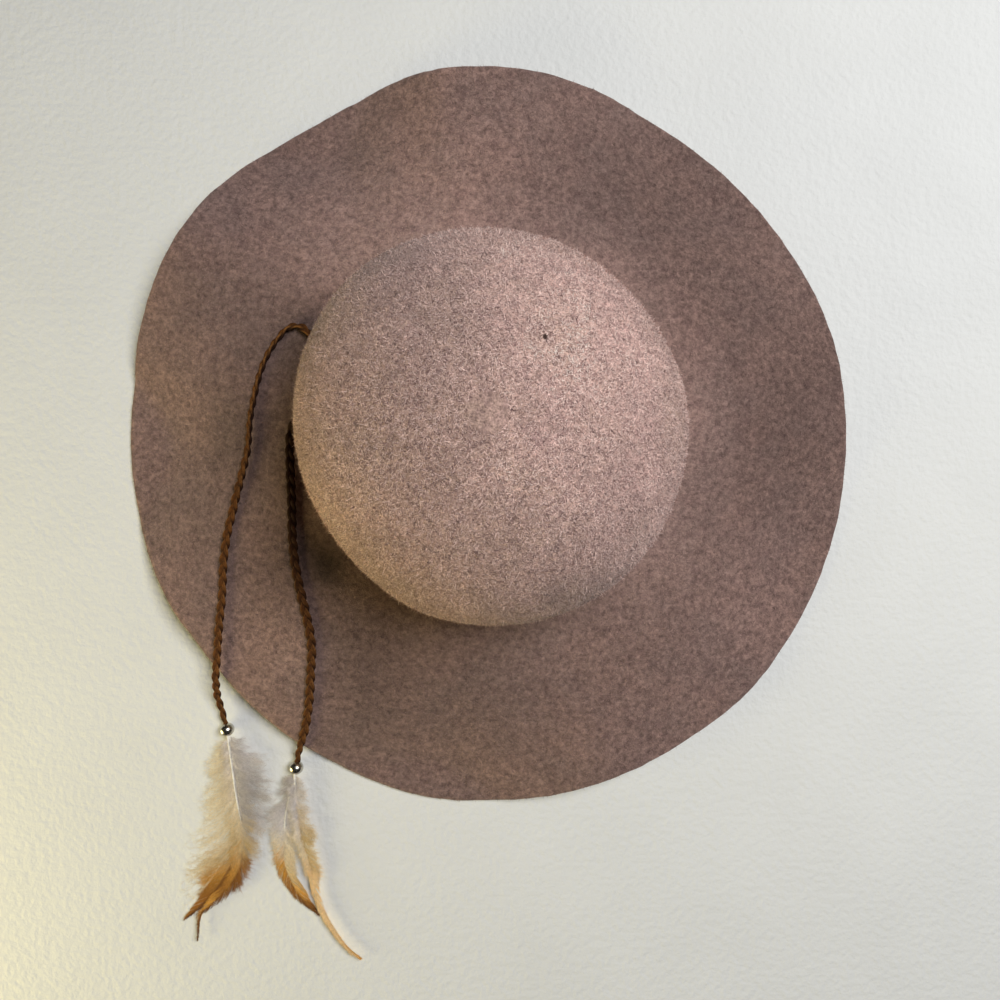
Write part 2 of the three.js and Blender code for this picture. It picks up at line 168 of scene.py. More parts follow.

# Uneven colour of the felt with painted shade and light: the middle of each patch from above, its radius
# and how much paler it is.
# Some patches are the felt's own uneven tone. The darker ones on the brim round the crown's foot at the
# left and lower left are painted shadow of the crown, and some paler ones on the crown are painted
# light.
PATCH_COLUMNS = ("x", "y", "radius", "tone_and_shade")
TONE_AND_SHADE_PATCHES = [
    (-38, 118, 34, 0.42), (-92, 104, 26, 0.22), (84, 134, 26, -0.24), (132, 92, 30, -0.16),
    (176, 40, 30, -0.22), (164, -8, 26, -0.16), (148, -86, 30, 0.1), (92, -128, 34, 0.06),
    (-8, -140, 26, -0.16), (-66, -146, 22, -0.3), (-106, -116, 24, 0.24), (-138, 62, 24, -0.1),
    (-172, 8, 20, 0.1), (-136, 2, 18, -0.3), (4, 176, 22, 0.1), (112, 12, 16, 0.2),
    (34, 32, 26, 0.24), (-8, 36, 11, -0.14), (24, -22, 16, 0.14), (-52, -10, 34, -0.15),
    (-36, 68, 18, -0.22), (24, -80, 22, -0.14), (-104, -74, 20, -0.3), (-66, -104, 18, -0.34),
    (-98, 54, 18, -0.3), (-98, -58, 11, -0.3), (56, -92, 13, -0.16), (30, -46, 18, 0.08),
    (4, 48, 18, 0.06), (90, -52, 16, 0.16), (60, 98, 20, 0.16), (-66, -36, 15, 0.28),
    (-78, 0, 12, 0.14), (-98, 6, 10, 0.14), (-84, -70, 8, -0.5), (-90, 51, 9, -0.24),
    (-54, 92, 10, -0.16),
]

# Dark specks in the felt: place and radius.
SPECKS = [((25.0, 30.7, 133.1), 1.1), ((-52.9, -53.9, 107.6), 1.4)]

# Felt colours and grain. Strengths are for the brim and the crown, and sizes are in millimetres.
CROWN_PINK = (0.5, 0.323, 0.288)
CROWN_TAN = (0.442, 0.298, 0.246)
CROWN_CLUSTER = (0.235, 0.145, 0.142)
BRIM_MAUVE = (0.275, 0.171, 0.144)
BRIM_GREY = (0.226, 0.148, 0.129)
BRIM_CLUSTER = (0.122, 0.071, 0.066)
SPECK_DARK = (0.035, 0.018, 0.015)
TONE_SIZE = 38.0
CLUSTER_SIZE = 5.0
TUFT_SIZE = 2.6
GRAIN_SIZE = 0.8
CLUSTER_STRENGTH = (1.0, 0.9)
TUFT_STRENGTH = (0.40, 0.26)
GRAIN_STRENGTH = (0.08, 0.40)

# Loose fibres: how many, how long and thick they are, how far they rise from the felt, what share
# of them stands up further, and how often each colour comes.
FIBRES = {
    "crown_fibres": {
        "count": 190000, "length": (0.8, 2.4), "width": 0.25, "rise": (0.05, 0.5), "standing": 0.10,
        "shares": (0.48, 0.25, 0.15, 0.12),
        "tones": (
            (0.83, 0.605, 0.545), (0.55, 0.372, 0.325), (0.29, 0.180, 0.168), (0.13, 0.072, 0.072),
        ),
    },
    "brim_fibres": {
        "count": 165000, "length": (0.8, 2.4), "width": 0.17, "rise": (0.02, 0.2), "standing": 0.02,
        "shares": (0.22, 0.28, 0.28, 0.22),
        "tones": (
            (0.36, 0.237, 0.20), (0.283, 0.183, 0.154), (0.21, 0.132, 0.114), (0.14, 0.085, 0.08),
        ),
    },
}
FIBRE_ROOT_GAP = 0.03
FIBRE_STANDING_RISE = (0.5, 1.1)
FIBRE_WIDTH_RANGE = (0.6, 1.3)
FIBRE_SHADE_RANGE = (0.88, 1.12)
FIBRE_MOTTLING = 0.12
SPECK_MARGIN = 0.5

# Suede, silver and floor colours
SUEDE_DARK_AND_SHADED = (0.022, 0.008, 0.004)
SUEDE_BROWN = (0.155, 0.054, 0.012)
SUEDE_TAN = (0.42, 0.19, 0.05)
SILVER = (0.56, 0.53, 0.46)
BORE_DARK = (0.08, 0.06, 0.04)
FLOOR_GREY = (0.8, 0.8, 0.785)
FLOOR_PALE = (0.83, 0.83, 0.815)

# Feather colours
QUILL = (0.95, 0.9, 0.81)
GREY = (0.52, 0.465, 0.43)
LILAC = (0.74, 0.68, 0.65)
CREAM = (0.84, 0.71, 0.5)
SAND = (0.68, 0.5, 0.25)
HONEY = (0.86, 0.6, 0.31)
GOLD = (0.66, 0.32, 0.05)
RUST = (0.34, 0.13, 0.016)
UMBER = (0.14, 0.048, 0.01)

# Barbs, their side hairs and the quill
BARB_STEPS = 9
BARB_WIDTH_DOWNY = 0.16
BARB_WIDTH_FIRM = 0.30
DOWNY_HAIRS = {"per_barb": 26, "length": 2.4, "width": 0.07}
FIRM_HAIRS = {"per_barb": 14, "length": 0.8, "width": 0.06}
QUILL_SIDES = 8
QUILL_RADIUS = 0.6
QUILL_TIP_RADIUS = 0.06
QUILL_LIFT = 0.5
QUILL_COVER_BLEND = 0.15
QUILL_IN_BEAD = 0.6
FEATHER_LOWEST = 0.25

# Each feather: the tie that it hangs from, its height at the bead and where it lies, how many barbs
# each side has, how far up it is downy, the barbs' lean at the root and the tip, how many tufts it
# has, its material slot, how much of the quill shows, its middle line from above, and the vane's
# reach and colours on each side.
VANE_COLUMNS = ("along", "west", "east")
FEATHERS = {
    "feather_left_broad": {
        "side": "left", "root_height": 3.0, "rest_height": 1.3, "barbs": 560, "downy": 0.82,
        "lean": (64, 24), "tufts": 46, "slot": "down", "shown": 0.45,
        "spine": [(-141.9, -198.7), (-140.7, -221.4), (-145.3, -239.7), (-156.1, -257.3),
                  (-173.2, -273.2)],
        "vane": [(0, 8, 9), (0.06, 15, 18), (0.14, 20, 20), (0.28, 26, 18), (0.38, 32, 15),
                 (0.47, 29, 12), (0.56, 19, 8), (0.66, 11, 6), (0.76, 7.5, 4.5), (0.86, 4.4, 3),
                 (0.94, 2.2, 1.5), (1, 0.1, 0.1)],
        "west_tones": [(0, LILAC), (0.1, CREAM), (0.44, CREAM), (0.57, SAND), (0.67, GOLD), (0.84, RUST),
                       (1, RUST)],
        "east_tones": [(0, GREY), (0.12, LILAC), (0.26, GREY), (0.46, LILAC), (0.58, SAND), (0.66, RUST),
                       (1, UMBER)],
    },
    "feather_left_rust": {
        "side": "left", "root_height": 5.0, "rest_height": 3.3, "barbs": 330, "downy": 0.7,
        "lean": (54, 14), "tufts": 30, "slot": "rust", "shown": 0.3,
        "spine": [(-143, -198.7), (-139, -227.1), (-141.9, -245.3), (-154.9, -261.3), (-162.2, -268.4),
                  (-164.6, -284.6)],
        "vane": [(0, 3, 4), (0.15, 6, 9), (0.3, 8, 9), (0.55, 9, 6), (0.7, 6.5, 4.5), (0.8, 2.8, 2.8),
                 (0.88, 1.6, 1.6), (0.95, 0.7, 0.7), (1, 0.05, 0.05)],
        "west_tones": [(0, LILAC), (0.35, CREAM), (0.5, SAND), (0.6, GOLD), (0.72, RUST), (0.84, GOLD),
                       (0.93, RUST), (1, UMBER)],
        "east_tones": [(0, LILAC), (0.35, GREY), (0.5, SAND), (0.6, RUST), (0.9, UMBER), (1, UMBER)],
    },
    "feather_right_long": {
        "side": "right", "root_height": 5.0, "rest_height": 3.3, "barbs": 380, "downy": 0.52,
        "lean": (56, 8), "tufts": 56, "slot": "rust", "shown": 0.02,
        "spine": [(-108.3, -210.1), (-105.4, -227.1), (-100.6, -242), (-97.6, -256), (-92.8, -269),
                  (-81.6, -285.6), (-71.3, -294.6)],
        "vane": [(0, 3, 4), (0.1, 4, 9), (0.24, 4.5, 10), (0.36, 4.5, 8), (0.46, 4, 5.6), (0.56, 3.4, 4),
                 (0.66, 3.2, 3.6), (0.78, 2.7, 2.8), (0.88, 1.9, 1.9), (0.95, 1, 1), (1, 0.05, 0.05)],
        "west_tones": [(0, GREY), (0.22, LILAC), (0.4, CREAM), (0.52, HONEY), (1, HONEY)],
        "east_tones": [(0, GREY), (0.1, LILAC), (0.32, SAND), (0.44, SAND), (0.56, HONEY), (0.86, HONEY),
                       (1, GOLD)],
    },
    "feather_right_rust": {
        "side": "right", "root_height": 3.0, "rest_height": 1.3, "barbs": 340, "downy": 0.55,
        "lean": (56, 18), "tufts": 30, "slot": "rust", "shown": 0.3,
        "spine": [(-114.6, -211.2), (-116.3, -232.8), (-115.4, -243), (-108.6, -257.6), (-95.4, -271)],
        "vane": [(0, 3, 3), (0.12, 9, 6), (0.3, 9, 7), (0.5, 6.5, 10), (0.66, 5, 9.5), (0.8, 3, 5.5),
                 (0.9, 1.6, 2.4), (1, 0.05, 0.05)],
        "west_tones": [(0, GREY), (0.34, LILAC), (0.5, CREAM), (0.6, GOLD), (0.76, RUST), (1, UMBER)],
        "east_tones": [(0, LILAC), (0.34, LILAC), (0.46, CREAM), (0.66, SAND), (0.8, GOLD), (0.9, RUST),
                       (1, UMBER)],
    },
}

# Camera, straight above the hat as in the photo
CAMERA_PLACE = (7.2, -33.7, 430.0)
CAMERA_LENS = 27.05
CAMERA_SENSOR = 36.0

# Lights: directions in degrees counterclockwise from +X and up, distance and size in metres
KEY_LIGHT = {
    "azimuth": 28, "elevation": 59, "distance": 1.3, "size": 0.65, "power": 15.5,
    "colour": (0.99, 1.0, 1.0),
}
WARM_LIGHT = {
    "azimuth": 212, "elevation": 9, "distance": 0.8, "size": 0.4, "power": 4.6,
    "colour": (1.0, 0.87, 0.42),
}
WORLD_COLOUR = (1.0, 0.96, 0.9, 1.0)
WORLD_STRENGTH = 0.02
FLOOR_REACH = 4000.0

rng = np.random.default_rng(7)


def columns(rows, names):
    return {name: np.array(values, float) for name, values in zip(names, zip(*rows))}


FOLD = columns(FOLDS, FOLD_COLUMNS)
SWAYS = columns(SWAY, SWAY_COLUMNS)


def around(table, column, angle):
    """A smooth value between the rows of a table that closes on itself after 360 degrees."""
    at = np.concatenate([table["at"][-2:] - 360, table["at"], table["at"][:3] + 360])
    value = np.concatenate([table[column][-2:], table[column], table[column][:3]])
    slope = np.zeros_like(value)
    slope[1:-1] = (value[2:] - value[:-2]) / (at[2:] - at[:-2])
    turned = np.mod(angle, 360)
    k = np.searchsorted(at, turned, side="right") - 1
    gap = at[k + 1] - at[k]
    u = (turned - at[k]) / gap
    return (
        (2 * u**3 - 3 * u**2 + 1) * value[k]
        + (u**3 - 2 * u**2 + u) * gap * slope[k]
        + (3 * u**2 - 2 * u**3) * value[k + 1]
        + (u**3 - u**2) * gap * slope[k + 1]
    )


def lumps(points, size, seed):
    """Smooth noise from -1 to 1 at points in space, one value every size millimetres."""
    cell = np.floor(points / size).astype(np.int64)
    u = points / size - cell
    u = u * u * (3 - 2 * u)
    total = np.zeros(points.shape[:-1])
    for corner in range(8):
        step = np.array([corner & 1, corner >> 1 & 1, corner >> 2 & 1])
        c = cell + step
        mixed = (c[..., 0] * 73856093) ^ (c[..., 1] * 19349663) ^ (c[..., 2] * 83492791) ^ seed
        value = np.mod(np.abs(np.sin(mixed % 100003 * 12.9898)) * 43758.5453, 1.0) * 2 - 1
        total += value * np.prod(np.where(step == 1, u, 1 - u), axis=-1)
    return total


def unit(vectors):
    return vectors / np.maximum(np.linalg.norm(vectors, axis=-1, keepdims=True), 1e-9)


def from_crown(angle, radius, height):
    radians = np.radians(angle)
    x = CROWN_CENTRE[0] + radius * np.cos(radians)
    y = CROWN_CENTRE[1] + radius * np.sin(radians)
    return np.stack(np.broadcast_arrays(x, y, height), axis=-1).astype(float)


def wall_radius(angle, height):
    u = (WIDEST_HEIGHT - height) / (WIDEST_HEIGHT - CROWN_FOOT_HEIGHT)
    narrowing = (CROWN_FOOT_RADIUS - CROWN_RADIUS) * u**2
    return CROWN_RADIUS + around(SWAYS, "out", angle) * (1 - u / 2) + narrowing


def brim_points(angle, t):
    """The brim's upper face, from the foot at t 0 to the edge at t 1. A low fold rests flat."""
    foot_radius = wall_radius(angle, CROWN_FOOT_HEIGHT) + CROWN_FILLET
    foot = from_crown(angle, foot_radius, CROWN_FOOT_HEIGHT - CROWN_FILLET)
    radians = np.radians(angle)
    reach = around(FOLD, "reach", angle)
    edge_x = BRIM_CENTRE[0] + reach * np.cos(radians)
    edge_y = BRIM_CENTRE[1] + reach * np.sin(radians)
    foot_rise = foot[..., 2] - FELT_THICKNESS
    fall = (around(FOLD, "lift", angle) - foot_rise) * t**BRIM_DROOP
    rise = foot_rise + fall + around(FOLD, "belly", angle) * np.sin(np.pi * t)
    rise = (rise + np.sqrt(rise**2 + PRESS_SOFTNESS**2)) / 2
    x = foot[..., 0] * (1 - t) + edge_x * t
    y = foot[..., 1] * (1 - t) + edge_y * t
    return np.stack([x, y, FELT_THICKNESS + rise], axis=-1)


def felt_face():
    """Rings of points on the felt's outer face, from the dome's top to the brim's edge."""
    angle = np.arange(FELT_SEGMENTS) * 360 / FELT_SEGMENTS
    rings = []
    widest = CROWN_RADIUS + around(SWAYS, "out", angle)
    dome_height = CROWN_TOP - WIDEST_HEIGHT
    for i in range(1, DOME_RINGS + 1):
        turn = math.pi / 2 * i / DOME_RINGS
        radius = widest * math.sin(turn) ** (2 / DOME_EXPONENT)
        rise = max(0.0, math.cos(turn)) ** (2 / DOME_EXPONENT)
        rings.append(from_crown(angle, radius, WIDEST_HEIGHT + dome_height * rise))
    for i in range(1, WALL_RINGS + 1):
        height = WIDEST_HEIGHT + (CROWN_FOOT_HEIGHT - WIDEST_HEIGHT) * i / WALL_RINGS
        rings.append(from_crown(angle, wall_radius(angle, height), height))
    for i in range(1, FILLET_RINGS + 1):
        turn = math.pi / 2 * i / FILLET_RINGS
        radius = wall_radius(angle, CROWN_FOOT_HEIGHT) + CROWN_FILLET * (1 - math.cos(turn))
        rings.append(from_crown(angle, radius, CROWN_FOOT_HEIGHT - CROWN_FILLET * math.sin(turn)))
    for i in range(1, BRIM_RINGS + 1):
        rings.append(brim_points(angle, np.full_like(angle, i / BRIM_RINGS)))
    return np.array(rings)


def face_normals(face, top):
    """Outward normals of a face of rings, and the direction down each section."""
    above = np.concatenate([np.broadcast_to(top, (1, *face.shape[1:])), face[:-1]])
    below = np.concatenate([face[1:], face[-1:]])
    down = unit(below - above)
    along_ring = np.roll(face, -1, axis=1) - np.roll(face, 1, axis=1)
    return unit(np.cross(down, along_ring)), down


def new_object(name, vertices, faces, material, smooth=True, attributes=None):
    """A mesh object from points in millimetres and one or a list of index arrays of faces."""
    mesh = bpy.data.meshes.new(name)
    groups = faces if isinstance(faces, list) else [faces]
    groups = [np.asarray(group, np.int32) for group in groups if len(group)]
    loops = np.concatenate([group.ravel() for group in groups])
    sizes = np.concatenate([np.full(len(group), group.shape[1], np.int32) for group in groups])
    mesh.vertices.add(len(vertices))
    mesh.vertices.foreach_set("co", (np.asarray(vertices, np.float32) * MM).ravel())
    mesh.loops.add(len(loops))
    mesh.loops.foreach_set("vertex_index", loops)
    mesh.polygons.add(len(sizes))
    starts = np.concatenate([[0], np.cumsum(sizes)[:-1]]).astype(np.int32)
    mesh.polygons.foreach_set("loop_start", starts)
    mesh.polygons.foreach_set("use_smooth", np.full(len(sizes), smooth))
    mesh.update(calc_edges=True)
    for key, values in (attributes or {}).items():
        if np.ndim(values) == 2:
            colours = np.concatenate([values, np.ones((len(values), 1))], axis=1)
            layer = mesh.color_attributes.new(key, "FLOAT_COLOR", "POINT")
            layer.data.foreach_set("color", colours.astype(np.float32).ravel())
        else:
            layer = mesh.attributes.new(key, "FLOAT", "POINT")
            layer.data.foreach_set("value", np.asarray(values, np.float32))
    mesh.materials.append(material)
    thing = bpy.data.objects.new(name, mesh)
    bpy.context.scene.collection.objects.link(thing)
    return thing


def grid_faces(rings, sides, start=0):
    """Quads between rings of points, each ring closed on itself."""
    i = np.arange(sides)
    j = (i + 1) % sides
    base = (start + np.arange(rings - 1) * sides)[:, None]
    quads = np.stack([base + i, base + sides + i, base + sides + j, base + j], axis=-1)
    return quads.reshape(-1, 4)


def fan_faces(centre, start, sides, flip):
    i = start + np.arange(sides)
    j = start + (np.arange(sides) + 1) % sides
    middle = np.full(sides, centre)
    return np.stack([middle, j, i] if flip else [middle, i, j], axis=-1)


# Materials


def new_material(name, **settings):
    """A material, its tree, its shader and a point's place. Settings are the shader's values."""
    material = bpy.data.materials.new(name)
    material.use_nodes = True
    tree = material.node_tree
    shader = tree.nodes["Principled BSDF"]
    for key, value in settings.items():
        shader.inputs[key.replace("_", " ").title().replace("Ior", "IOR")].default_value = value
    place = tree.nodes.new("ShaderNodeTexCoord").outputs["Object"]
    return material, tree, shader, place


def add_node(tree, kind, inputs=None, **properties):
    node = tree.nodes.new(kind)
    for key, value in properties.items():
        setattr(node, key, value)
    for key, value in (inputs or {}).items():
        if isinstance(value, bpy.types.NodeSocket):
            tree.links.new(value, node.inputs[key])
        else:
            node.inputs[key].default_value = value
    return node


def attribute(tree, name, output="Fac"):
    return add_node(tree, "ShaderNodeAttribute", attribute_name=name).outputs[output]


def noise(tree, vector, size, detail=3.0, roughness=0.55, distortion=0.0):
    """Noise whose features are about size millimetres across."""
    inputs = {"Vector": vector, "Scale": 1 / (size * MM), "Detail": detail, "Roughness": roughness}
    inputs["Distortion"] = distortion
    return add_node(tree, "ShaderNodeTexNoise", inputs).outputs["Fac"]


def span(tree, value, low, high, to_low=0.0, to_high=1.0):
    inputs = {"Value": value, "From Min": low, "From Max": high, "To Min": to_low, "To Max": to_high}
    return add_node(tree, "ShaderNodeMapRange", inputs).outputs["Result"]


def mix(tree, share, first, second, blend="MIX"):
    inputs = {0: share}
    for index, colour in ((6, first), (7, second)):
        inputs[index] = (*colour, 1.0) if isinstance(colour, tuple) else colour
    return add_node(tree, "ShaderNodeMix", inputs, data_type="RGBA", blend_type=blend).outputs[2]


def math_node(tree, operation, first, second):
    inputs = {0: first, 1: second}
    return add_node(tree, "ShaderNodeMath", inputs, operation=operation).outputs["Value"]


def shaded(tree, colour, shade):
    """A colour made darker or paler by a shade, where 1 leaves it as it is."""
    grey = add_node(tree, "ShaderNodeCombineColor", {"Red": shade, "Green": shade, "Blue": shade})
    return mix(tree, 1.0, colour, grey.outputs["Color"], "MULTIPLY")


def bump(tree, height, distance, strength):
    inputs = {"Height": height, "Distance": distance * MM, "Strength": strength}
    return add_node(tree, "ShaderNodeBump", inputs).outputs["Normal"]


def specked(tree, place, colour):
    """The colour with the felt's dark specks in it."""
    for centre, radius in SPECKS:
        middle = tuple(np.array(centre) * MM)
        away = add_node(tree, "ShaderNodeVectorMath", {0: place, 1: middle}, operation="DISTANCE")
        near = span(tree, away.outputs["Value"], radius * MM, 0.6 * radius * MM, 0.0, 0.8)
        colour = mix(tree, near, colour, SPECK_DARK)
    return colour


def felt_material():
    """Wool felt: soft patches, darker clusters and fine grain, sharper and paler on the crown."""
    material, tree, shader, place = new_material(
        "felt", roughness=0.95, specular_ior_level=0.1, sheen_weight=0.2, sheen_roughness=0.6,
        sheen_tint=(1.0, 0.86, 0.8, 1.0),
    )
    crown = attribute(tree, "crown")
    patches = span(tree, noise(tree, place, TONE_SIZE, 3.0, 0.6), 0.38, 0.62)
    on_crown = mix(tree, patches, CROWN_PINK, CROWN_TAN)
    on_brim = mix(tree, patches, BRIM_MAUVE, BRIM_GREY)
    ground = mix(tree, crown, on_brim, on_crown)
    cluster = mix(tree, crown, BRIM_CLUSTER, CROWN_CLUSTER)
    clouds = span(tree, noise(tree, place, CLUSTER_SIZE, 4.0, 0.68, 0.3), 0.44, 0.76)
    clouds = math_node(tree, "MULTIPLY", clouds, span(tree, crown, 0.0, 1.0, *CLUSTER_STRENGTH))
    ground = mix(tree, clouds, ground, cluster)
    tufts = span(tree, noise(tree, place, TUFT_SIZE, 3.0, 0.65, 0.4), 0.32, 0.68, -1.0, 1.0)
    grain = span(tree, noise(tree, place, GRAIN_SIZE, 2.0, 0.65), 0.32, 0.68, -1.0, 1.0)
    soft = math_node(tree, "MULTIPLY", tufts, span(tree, crown, 0.0, 1.0, *TUFT_STRENGTH))
    fine = math_node(tree, "MULTIPLY", grain, span(tree, crown, 0.0, 1.0, *GRAIN_STRENGTH))
    uneven = math_node(tree, "ADD", 1.0, math_node(tree, "ADD", soft, fine))
    # The patches bring the felt's uneven tone together with painted shade and light.
    shade = math_node(tree, "MULTIPLY", attribute(tree, "tone_and_shade"), uneven)
    colour = specked(tree, place, shaded(tree, ground, shade))
    tree.links.new(colour, shader.inputs["Base Color"])
    relief = math_node(tree, "ADD", grain, tufts)
    tree.links.new(bump(tree, relief, 0.12, 0.55), shader.inputs["Normal"])
    return material


def strand_material(name, mottling, palest, **settings):
    """Fibres or barbs, each with the colour that its mesh gives it, finely mottled."""
    material, tree, shader, place = new_material(name, sheen_weight=0.2, **settings)
    shade = span(tree, noise(tree, place, *mottling), 0.3, 0.7, 2 - palest, palest)
    colour = shaded(tree, attribute(tree, "tone", "Color"), shade)
    tree.links.new(colour, shader.inputs["Base Color"])
    return material


def suede_material():
    """Suede lace: dark where a strand dips, as painted shade, worn brown where it rises, with paler cut
    edges.
    """
    material, tree, shader, place = new_material("suede", roughness=0.85, specular_ior_level=0.15)
    # Where raised is low, where a strand dips under its neighbours, the suede turns dark: painted shade
    # in the plait's dips.
    raised = attribute(tree, "raised")
    worn = span(tree, noise(tree, place, 3.0, 4.0, 0.7), 0.32, 0.66, 0.25, 1.0)
    nap_and_painted_shade = mix(tree, math_node(tree, "MULTIPLY", worn, raised), SUEDE_DARK_AND_SHADED, SUEDE_BROWN)
    scuffs = span(tree, noise(tree, place, 1.1, 3.0), 0.3, 0.6, 0.1, 0.7)
    cut = math_node(tree, "MULTIPLY", attribute(tree, "edge"), scuffs)
    cut = math_node(tree, "MULTIPLY", cut, raised)
    tree.links.new(mix(tree, cut, nap_and_painted_shade, SUEDE_TAN), shader.inputs["Base Color"])
    fuzz = noise(tree, place, 0.35, 4.0, 0.7)
    tree.links.new(bump(tree, fuzz, 0.12, 0.7), shader.inputs["Normal"])
    return material


def silver_material():
    """Polished silver with faint scratches and a darker bore."""
    material, tree, shader, place = new_material("silver", metallic=1.0)
    inputs = {"Vector": place, "Rotation": (0.4, 0.2, 0.9), "Scale": (1.0, 6.0, 1.0)}
    streaked = add_node(tree, "ShaderNodeMapping", inputs).outputs["Vector"]
    streaks = noise(tree, streaked, 1.2, 4.0, 0.7)
    tree.links.new(span(tree, streaks, 0.3, 0.75, 0.18, 0.32), shader.inputs["Roughness"])
    metal = mix(tree, attribute(tree, "bore"), SILVER, BORE_DARK)
    tree.links.new(metal, shader.inputs["Base Color"])
    tree.links.new(bump(tree, streaks, 0.02, 0.3), shader.inputs["Normal"])
    return material


def floor_material():
    """A plain pale floor with the faintest unevenness."""
    material, tree, shader, place = new_material("floor", roughness=0.85, specular_ior_level=0.2)
    wander = span(tree, noise(tree, place, 60, 3.0), 0.3, 0.7)
    tree.links.new(mix(tree, wander, FLOOR_GREY, FLOOR_PALE), shader.inputs["Base Color"])
    grain = noise(tree, place, 4.0, 3.0, 0.5)
    tree.links.new(bump(tree, grain, 0.9, 0.8), shader.inputs["Normal"])
    return material


# Felt


def crown_share(points):
    """1 on the crown, easing to 0 out on the brim."""
    out = np.linalg.norm(points[..., :2] - CROWN_CENTRE, axis=-1)
    level = np.clip((points[..., 2] - CROWN_TONE_HEIGHT) / CROWN_TONE_BLEND, 0, 1)
    near = np.clip(1 - (out - CROWN_FOOT_RADIUS) / CROWN_TONE_REACH, 0, 1) * CROWN_TONE_SHARE
    return np.maximum(level * level * (3 - 2 * level), near)


def tone_and_shade(points):
    """The felt's uneven tone with its painted shade and light at each point, where 1 is the same as the
    rest and more is paler.
    """
    patch = columns(TONE_AND_SHADE_PATCHES, PATCH_COLUMNS)
    away = points[..., None, :2] - np.stack([patch["x"], patch["y"]], axis=-1)
    near = np.exp(-0.5 * (np.linalg.norm(away, axis=-1) / patch["radius"]) ** 2)
    return 1 + (patch["tone_and_shade"] * near).sum(axis=-1)


def hat_body(material):
    """The felt, uneven as blocked wool is, with both faces and a rounded raw edge in one mesh."""
    face = felt_face()
    top = from_crown(0, 0, CROWN_TOP)
    normal, down = face_normals(face, top)
    swell = LUMP_HEIGHT * lumps(face, LUMP_SIZE, 3)
    swell = swell + FINE_LUMP_HEIGHT * lumps(face, FINE_LUMP_SIZE, 5)
    raised = np.clip((face[..., 2] - FELT_THICKNESS - PRESSED_HEIGHT) / PRESSED_BLEND, 0, 1)
    face = face + normal * (swell * raised)[..., None]
    ragged = EDGE_UNEVENNESS * lumps(face[-1], EDGE_UNEVEN_SIZE, 11)
    face[-1] += down[-1] * ragged[:, None]
    normal, down = face_normals(face, top)
    inner = face - normal * FELT_THICKNESS
    inner[..., 2] = np.maximum(inner[..., 2], FLOOR_GAP)
    edge = [
        face[-1] + down[-1] * EDGE_ROUNDING * out - normal[-1] * FELT_THICKNESS * depth
        for depth, out in EDGE_RINGS
    ]
    for ring in edge:
        ring[:, 2] = np.maximum(ring[:, 2], FLOOR_GAP)
    rings = np.concatenate([face, np.array(edge), inner[::-1]])
    count = len(rings)
    points = rings.reshape(-1, 3)
    inner_top = from_crown(0, 0, CROWN_TOP - FELT_THICKNESS)
    points = np.concatenate([points, [top, inner_top]])
    last = (count - 1) * FELT_SEGMENTS
    faces = [
        grid_faces(count, FELT_SEGMENTS),
        np.concatenate([
            fan_faces(len(points) - 2, 0, FELT_SEGMENTS, flip=False),
            fan_faces(len(points) - 1, last, FELT_SEGMENTS, flip=True),
        ]),
    ]
    # The patches hold the felt's uneven tone and painted shadow and light, kept on each point.
    shades = {"crown": crown_share(points), "tone_and_shade": tone_and_shade(points)}
    body = new_object("felt_hat", points, faces, material, attributes=shades)
    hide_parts("hat_body")
    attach(body, "root")
    return face, normal


def fibres(name, face, normal, first, last, material):
    """Short fibres lying every way on a stretch of the felt, each a thin pointed blade."""
    spec = FIBRES[name]
    count = spec["count"]
    a, b = face[first:last - 1], face[first + 1:last]
    side = np.roll(a, -1, axis=1) - a
    drop = b - a
    area = np.linalg.norm(np.cross(side, drop), axis=-1)
    chosen = rng.choice(area.size, size=count, p=(area / area.sum()).ravel())
    r, i = np.divmod(chosen, area.shape[1])
    u, v = rng.random((2, count, 1))
    up = normal[first:last][r, i]
    root = a[r, i] + side[r, i] * u + drop[r, i] * v + up * FIBRE_ROOT_GAP
    turn = rng.random((count, 1)) * 2 * np.pi
    east = unit(side[r, i])
    ahead = east * np.cos(turn) + np.cross(up, east) * np.sin(turn)
    across = np.cross(up, ahead)
    length = rng.uniform(*spec["length"], (count, 1))
    rise = rng.uniform(*spec["rise"], (count, 1))
    standing = rng.random((count, 1)) < spec["standing"]
    rise = np.where(standing, rng.uniform(*FIBRE_STANDING_RISE, (count, 1)), rise)
    half = spec["width"] * rng.uniform(*FIBRE_WIDTH_RANGE, (count, 1)) / 2
    tip = root + (ahead + up * rise) * length
    points = np.stack([root - across * half, root + across * half, tip], axis=1)
    tones = rng.choice(len(spec["tones"]), size=count, p=spec["shares"])
    mottled = FIBRE_MOTTLING * lumps(root, 10.0, 21) + FIBRE_MOTTLING * lumps(root, 5.0, 23)
    # The fibres take the felt's patches too, with their painted shade and light.
    shade = rng.uniform(*FIBRE_SHADE_RANGE, count) * tone_and_shade(root) * (1 + mottled)
    if name == "brim_fibres":
        shade = shade * (1 + crown_share(root))
    colour = np.clip(np.array(spec["tones"])[tones] * shade[:, None], 0, 1)
    for centre, radius in SPECKS:
        near = np.linalg.norm(root - np.array(centre), axis=1) < radius + SPECK_MARGIN
        colour[near] = SPECK_DARK
    thing = new_object(
        name, points.reshape(-1, 3), np.arange(count * 3).reshape(-1, 3), material, smooth=False,
        attributes={"tone": np.repeat(colour, 3, axis=0)},
    )
    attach(thing, "root")


# Plaited cord


